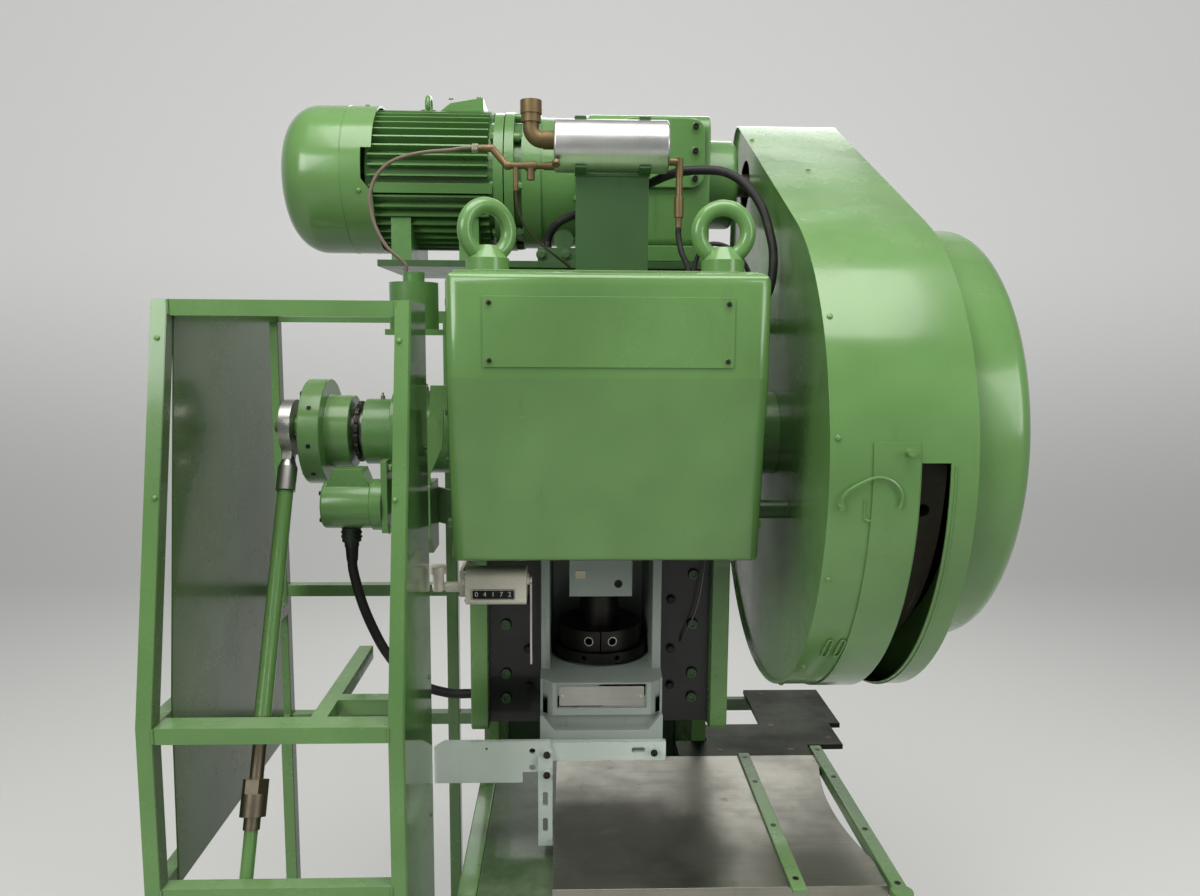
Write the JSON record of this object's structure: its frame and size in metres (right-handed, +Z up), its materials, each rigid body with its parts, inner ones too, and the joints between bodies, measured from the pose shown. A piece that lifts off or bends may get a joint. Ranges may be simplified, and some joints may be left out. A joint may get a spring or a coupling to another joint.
{
  "type": "mechanical stamping press",
  "caption": "Stamping press with an open front frame, a belt driven flywheel, a guarded feed crank, a slide over a steel table and a geared motor on top.",
  "frame": {"origin": "on the floor under the crank centre, midway between the side plates", "axes": "+X towards the flywheel, +Y to the back of the press, +Z up"},
  "size_m": [1.646, 1.22, 2.5574],
  "materials": {
    "gloss_green": "gloss enamel over filled castings and sheet",
    "dark_green": "older green paint, oily and worn",
    "slide_grey": "light grey machine paint",
    "bare_steel": "ground plate with scratches and oil",
    "bright_steel": "machined steel",
    "dark_steel": "oily dark steel",
    "rusty_iron": "lightly rusted rim",
    "bronze": "turned bearing bronze",
    "brass": "turned fittings",
    "tank_aluminium": "brushed tube",
    "black_rubber": "matt black hose and cable"
  },
  "bodies": {
    "root": {"base_plate": "dark_green", "side_plate_left": "gloss_green", "side_plate_right": "gloss_green", "crown_box": "gloss_green", "bed_box": "dark_green", "bearing_housing_left": "gloss_green", "bearing_housing_right": "gloss_green", "crank_bushes": "bronze", "slide_gibs": "dark_steel", "front_cover": "gloss_green", "name_plate": "gloss_green", "lifting_eyes": "gloss_green", "table_plate": "bare_steel", "table_rails": "gloss_green", "rear_plate": "bare_steel", "table_bracket": "dark_green", "motor_frame": "gloss_green", "fan_cowl": "gloss_green", "terminal_box": "gloss_green", "motor_flange": "gloss_green", "gear_housing": "gloss_green", "gear_cover": "gloss_green", "motor_base": "dark_green", "air_tank": "tank_aluminium", "tank_bracket": "dark_green", "air_fittings": "brass", "signal_tube": "black_rubber", "motor_conduit": "black_rubber", "tank_hose": "black_rubber", "belt_guard": "gloss_green", "guard_spacers": "dark_green", "clutch_cover": "gloss_green", "drive_belts": "black_rubber", "cam_switch": "gloss_green", "switch_bracket": "gloss_green", "switch_cable": "black_rubber", "stroke_counter": "bright_steel", "oil_pot": "gloss_green", "side_box": "gloss_green", "side_guard": "gloss_green"},
    "crankshaft": {"crankshaft": "bare_steel", "feed_crank": "gloss_green", "timing_sprocket": "dark_steel", "clutch_drum": "bare_steel"},
    "flywheel": {"flywheel": "rusty_iron"},
    "drive": {"drive_pulley": "bare_steel"},
    "fan": {"cooling_fan": "dark_steel"},
    "slide": {"slide": "slide_grey", "slide_plate": "bright_steel", "tool_bars": "slide_grey"},
    "conrod": {"connecting_rod": "slide_grey"},
    "screw": {"adjusting_screw": "dark_steel", "clamp_ring": "bright_steel", "retaining_ring": "bright_steel"},
    "link": {"link_head": "bright_steel", "feed_link": "gloss_green", "link_coupling": "bright_steel"},
    "slot_cover": {"slot_cover": "gloss_green"},
    "catch": {"cover_catch": "gloss_green"},
    "lever": {"counter_lever": "bright_steel"}
  },
  "joints": [
    {"name": "crank_turn", "type": "hinge", "parent": "root", "child": "crankshaft", "pos_m": [0, 0, 1.708], "axis": [1, 0, 0], "range_deg": [0, 180]},
    {"name": "slide_stroke", "type": "slide", "parent": "root", "child": "slide", "axis": [0, 0, 1], "range_m": [0, 0.1]},
    {"name": "conrod_pivot", "type": "hinge", "parent": "crankshaft", "child": "conrod", "pos_m": [0, 0, 1.658], "axis": [1, 0, 0], "range_deg": [-180, 0]},
    {"name": "screw_turn", "type": "hinge", "parent": "conrod", "child": "screw", "pos_m": [0, 0, 1.12], "axis": [0, 0, 1], "range_deg": [-180, 180]},
    {"name": "feed_link_pivot", "type": "hinge", "parent": "crankshaft", "child": "link", "pos_m": [-0.6945, -0.04806, 1.72178], "axis": [1, 0, 0], "range_deg": [-180, 0]},
    {"name": "flywheel_spin", "type": "hinge", "parent": "root", "child": "flywheel", "pos_m": [0.53, 0, 1.708], "axis": [1, 0, 0], "continuous": true},
    {"name": "drive_spin", "type": "hinge", "parent": "root", "child": "drive", "pos_m": [0.5, 0.4, 2.335], "axis": [1, 0, 0], "continuous": true},
    {"name": "fan_spin", "type": "hinge", "parent": "root", "child": "fan", "pos_m": [-0.6, 0.4, 2.335], "axis": [1, 0, 0], "continuous": true},
    {"name": "slot_cover_slide", "type": "slide", "parent": "root", "child": "slot_cover", "axis": [1, 0, 0], "range_m": [0, 0.057]},
    {"name": "catch_pivot", "type": "hinge", "parent": "root", "child": "catch", "pos_m": [0.412, -0.52104, 1.62722], "axis": [0, -0.9965, -0.0837], "range_deg": [-60, 0]},
    {"name": "counter_lever_swing", "type": "hinge", "parent": "root", "child": "lever", "pos_m": [-0.153, -0.202, 1.414], "axis": [1, 0, 0], "range_deg": [0, 40], "stiffness_Nm_per_rad": 0.4}
  ],
  "couplings": [
    {"joint": "slide_stroke", "follows": "crank_turn", "m_per_rad": 0.03183},
    {"joint": "conrod_pivot", "follows": "crank_turn", "ratio": -1},
    {"joint": "feed_link_pivot", "follows": "crank_turn", "ratio": -1},
    {"joint": "drive_spin", "follows": "flywheel_spin", "ratio": 4.968},
    {"joint": "fan_spin", "follows": "flywheel_spin", "ratio": 7.452}
  ]
}
